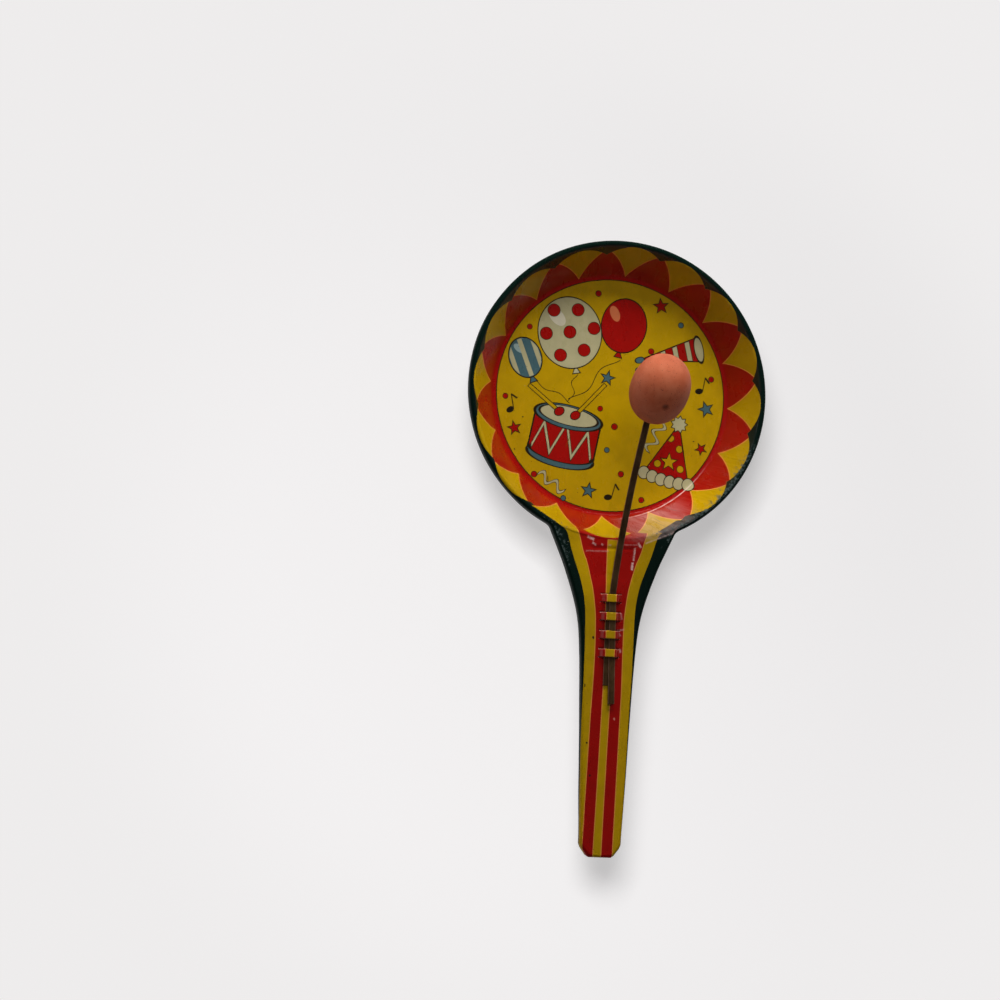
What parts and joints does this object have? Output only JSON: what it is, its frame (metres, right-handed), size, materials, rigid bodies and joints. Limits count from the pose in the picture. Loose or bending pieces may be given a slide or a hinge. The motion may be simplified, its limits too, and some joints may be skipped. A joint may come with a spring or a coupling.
{
  "type": "clapper noise maker",
  "caption": "Tin clapper noise maker: a dished round pan with a flat handle and wooden balls on spring strips in front and behind that strike the pan when it is shaken.",
  "frame": {"origin": "under the middle of the toy's box, at the height of its lowest point, which is the underside of the rear ball", "axes": "+Z out of the printed face of the sheet, +Y from the handle toward the pan, +X to the right as the printed face is looked at"},
  "size_m": [0.098, 0.198, 0.0756],
  "materials": {
    "printed_tin": "printed and varnished tinplate, semi-gloss, worn at the edges",
    "front_strip_steel": "dark tempered spring steel",
    "rear_strip_steel": "dark tempered spring steel",
    "front_ball_wood": "matt salmon pink paint over turned wood, pitted",
    "rear_ball_wood": "matt salmon pink paint over turned wood, pitted"
  },
  "bodies": {
    "sheet": {"pressed_sheet": "printed_tin"},
    "front_clapper": {"front_strip": "front_strip_steel", "front_ball": "front_ball_wood"},
    "rear_clapper": {"rear_strip": "rear_strip_steel", "rear_ball": "rear_ball_wood"}
  },
  "joints": [
    {"name": "front_swing", "type": "hinge", "parent": "sheet", "child": "front_clapper", "pos_m": [0.0003, -0.01524, 0.03948], "axis": [1, 0, 0], "range_deg": [-25.2, 20], "stiffness_Nm_per_rad": 0.073, "deforming": ["front_strip"]},
    {"name": "rear_swing", "type": "hinge", "parent": "sheet", "child": "rear_clapper", "pos_m": [-0.0006, -0.01534, 0.03772], "axis": [1, 0, 0], "range_deg": [-20, 6], "stiffness_Nm_per_rad": 0.073, "deforming": ["rear_strip"]}
  ]
}
